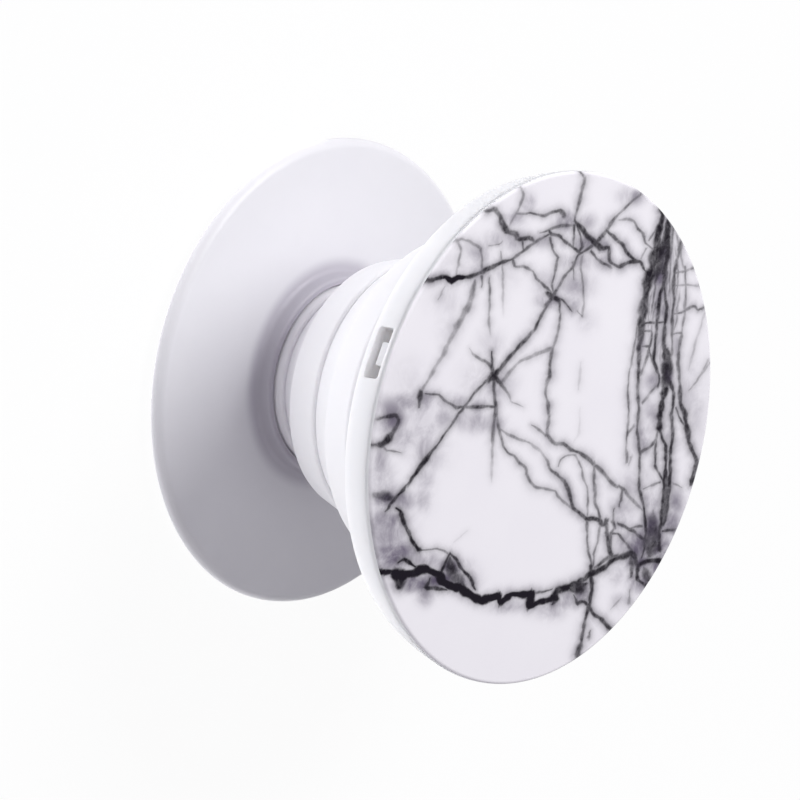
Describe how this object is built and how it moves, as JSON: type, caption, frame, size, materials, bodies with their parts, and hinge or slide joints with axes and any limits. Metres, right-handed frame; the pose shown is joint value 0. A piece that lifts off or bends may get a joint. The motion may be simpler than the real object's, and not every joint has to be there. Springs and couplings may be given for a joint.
{
  "type": "collapsible phone grip",
  "caption": "Round phone grip: adhesive base plate, folding bellows neck and a marble-print disc that pulls out for the fingers and pushes flat again.",
  "frame": {"origin": "centre of the adhesive face that sticks to the phone", "axes": "+Z along the grip's axis, from the phone to the printed face; one snap window looks along -Y, 7 degrees towards -X"},
  "size_m": [0.04, 0.04, 0.025],
  "materials": {
    "adhesive_foam": "matte acrylic foam",
    "base_plastic": "fine moulded grain",
    "bellows_elastomer": "satin elastomer",
    "disc_plastic": "satin",
    "printed_face": "satin white with a grey and black marble print"
  },
  "bodies": {
    "base": {"adhesive_pad": "adhesive_foam", "base_plate": "base_plastic"},
    "bellows": {"accordion": "bellows_elastomer"},
    "disc": {"top_cup": "disc_plastic", "face_plate": "printed_face"}
  },
  "joints": [
    {"name": "swivel", "type": "hinge", "parent": "base", "child": "bellows", "pos_m": [0, 0, 0.00185], "axis": [0, 0, 1], "continuous": true},
    {"name": "collapse", "type": "slide", "parent": "bellows", "child": "disc", "axis": [0, 0, 1], "range_m": [-0.018, 0], "deforming": ["accordion"]}
  ]
}
